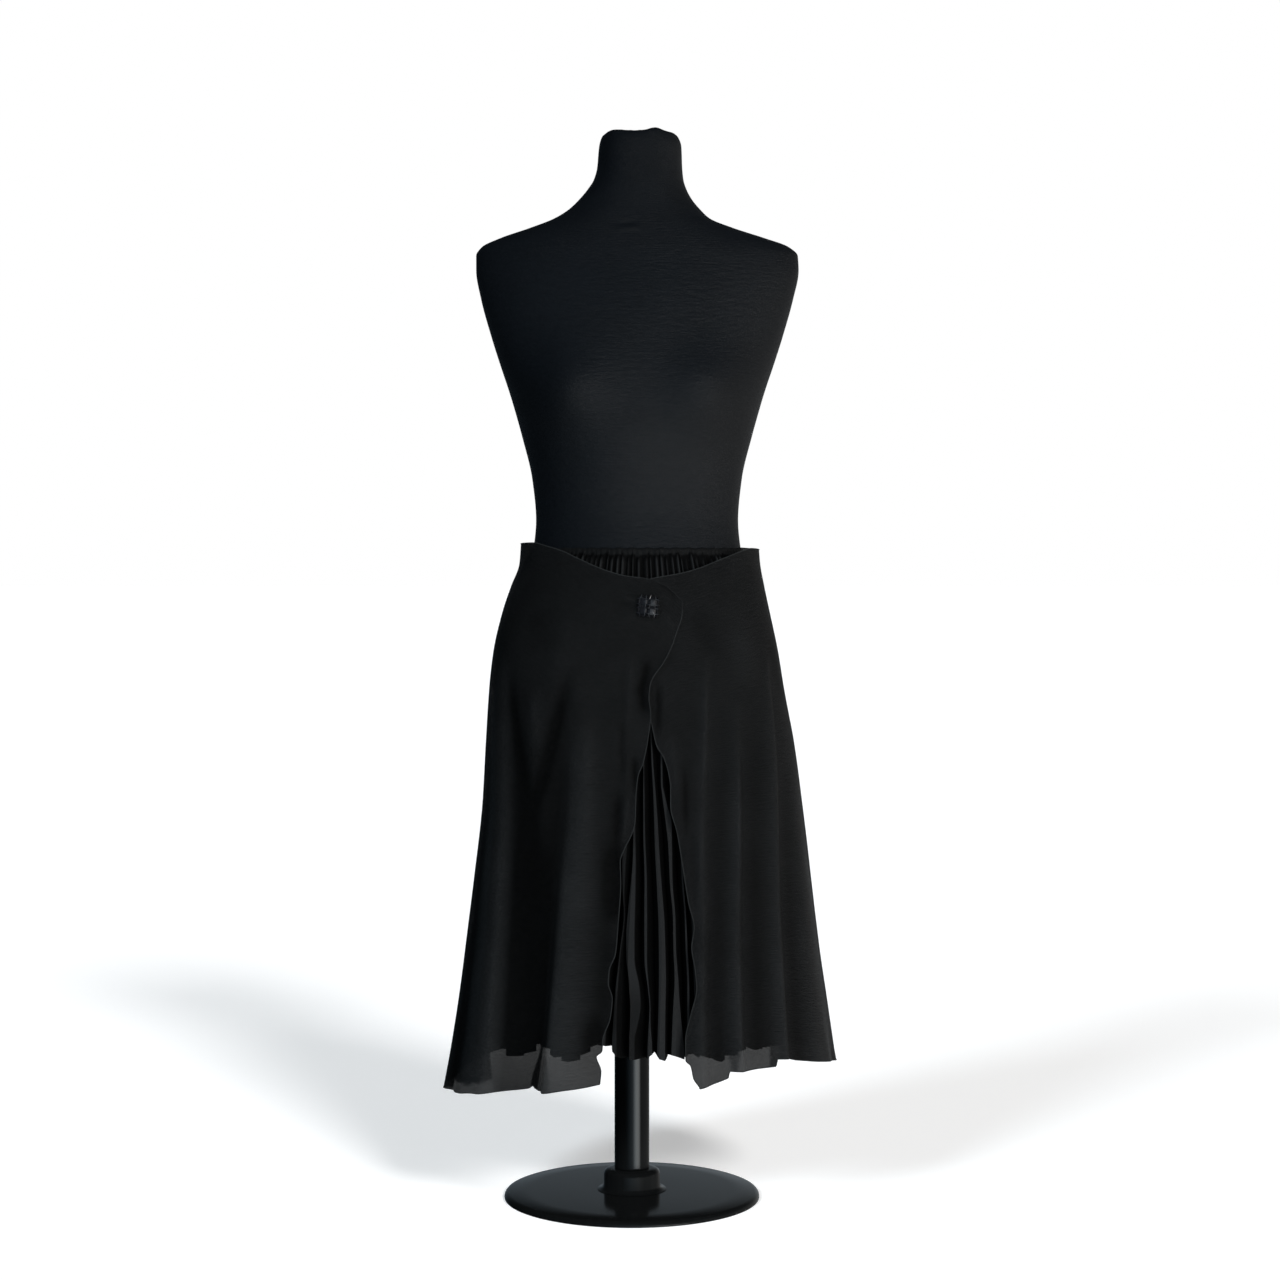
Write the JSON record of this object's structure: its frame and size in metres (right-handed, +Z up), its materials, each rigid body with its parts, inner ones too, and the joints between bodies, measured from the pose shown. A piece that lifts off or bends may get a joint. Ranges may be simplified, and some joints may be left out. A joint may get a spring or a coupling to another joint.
{
  "type": "pleated skirt on a dress form",
  "caption": "Black pleated skirt under a sheer wrap overskirt closed by a square jewelled button, worn on a limbless dress form with a pole and a round base.",
  "frame": {"origin": "middle of the round base's underside, which is on the pole's axis", "axes": "+Z up along the pole; -Y the way the garment's front faces; +X the wearer's left, which is the viewer's right"},
  "size_m": [0.4603, 0.3795, 1.244],
  "materials": {
    "form_jersey": "matt charcoal stretch jersey",
    "black_crepe": "matt black crepe, permanently pleated",
    "black_chiffon": "sheer black chiffon",
    "black_steel": "satin black",
    "gunmetal": "dark polished",
    "jet_glass": "polished opaque black"
  },
  "bodies": {
    "root": {"dress_form": "form_jersey", "stand_flange": "black_steel", "stand_pole": "black_steel", "stand_collar": "black_steel", "stand_base": "black_steel", "waistband": "black_crepe", "pleated_front": "black_crepe", "pleated_back": "black_crepe", "overskirt_right_front": "black_chiffon", "overskirt_left_front": "black_chiffon", "overskirt_back": "black_chiffon", "button_setting": "gunmetal", "button_stone_1": "jet_glass", "button_stone_2": "jet_glass", "button_stone_3": "jet_glass", "button_stone_4": "jet_glass"}
  },
  "joints": []
}
